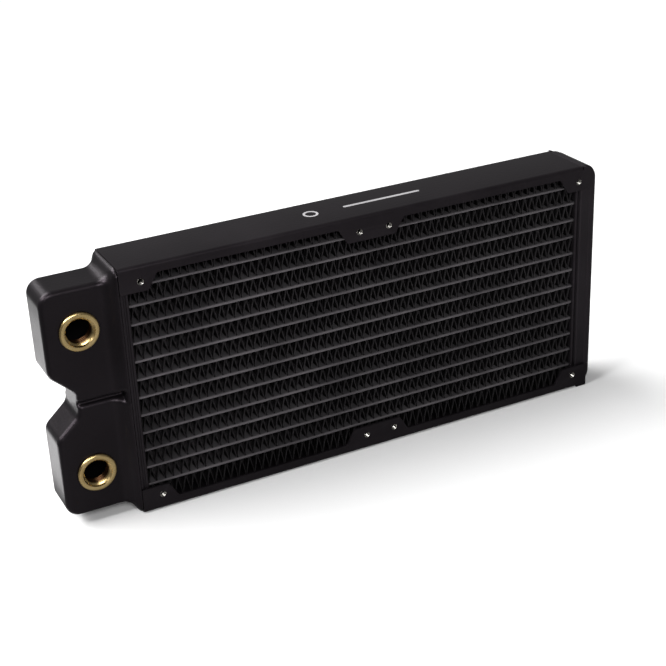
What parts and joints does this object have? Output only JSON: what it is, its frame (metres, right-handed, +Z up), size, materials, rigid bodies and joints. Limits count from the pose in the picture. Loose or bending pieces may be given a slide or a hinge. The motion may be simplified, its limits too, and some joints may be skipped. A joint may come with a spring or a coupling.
{
  "type": "liquid cooling radiator",
  "caption": "Slim rectangular liquid cooling radiator with a finned tube core, an eared port tank with brass threaded ports, a plain return tank and channel side plates with fan screw tabs.",
  "frame": {"origin": "middle of the bottom face, where the radiator stands on its lower side plate", "axes": "+X along the length from the port tank to the return tank, -Y the face with the ports, +Z up"},
  "size_m": [0.28, 0.03, 0.12],
  "materials": {
    "shell_paint": "satin black paint",
    "plate_paint": "satin black paint",
    "tube_paint": "thin satin black paint",
    "fin_paint": "matte black paint",
    "port_brass": "machined, satin"
  },
  "bodies": {
    "root": {"port_tank_shell": "shell_paint", "chamber_divider": "shell_paint", "inlet_collar": "port_brass", "outlet_collar": "port_brass", "port_header_plate": "shell_paint", "return_header_plate": "shell_paint", "return_tank_shell": "shell_paint", "side_plate_top": "plate_paint", "side_plate_bottom": "plate_paint", "tube_01": "tube_paint", "tube_02": "tube_paint", "tube_03": "tube_paint", "tube_04": "tube_paint", "tube_05": "tube_paint", "tube_06": "tube_paint", "tube_07": "tube_paint", "tube_08": "tube_paint", "tube_09": "tube_paint", "tube_10": "tube_paint", "tube_11": "tube_paint", "tube_12": "tube_paint", "fin_strip_01": "fin_paint", "fin_strip_02": "fin_paint", "fin_strip_03": "fin_paint", "fin_strip_04": "fin_paint", "fin_strip_05": "fin_paint", "fin_strip_06": "fin_paint", "fin_strip_07": "fin_paint", "fin_strip_08": "fin_paint", "fin_strip_09": "fin_paint", "fin_strip_10": "fin_paint", "fin_strip_11": "fin_paint", "fin_strip_12": "fin_paint", "fin_strip_13": "fin_paint"}
  },
  "joints": []
}
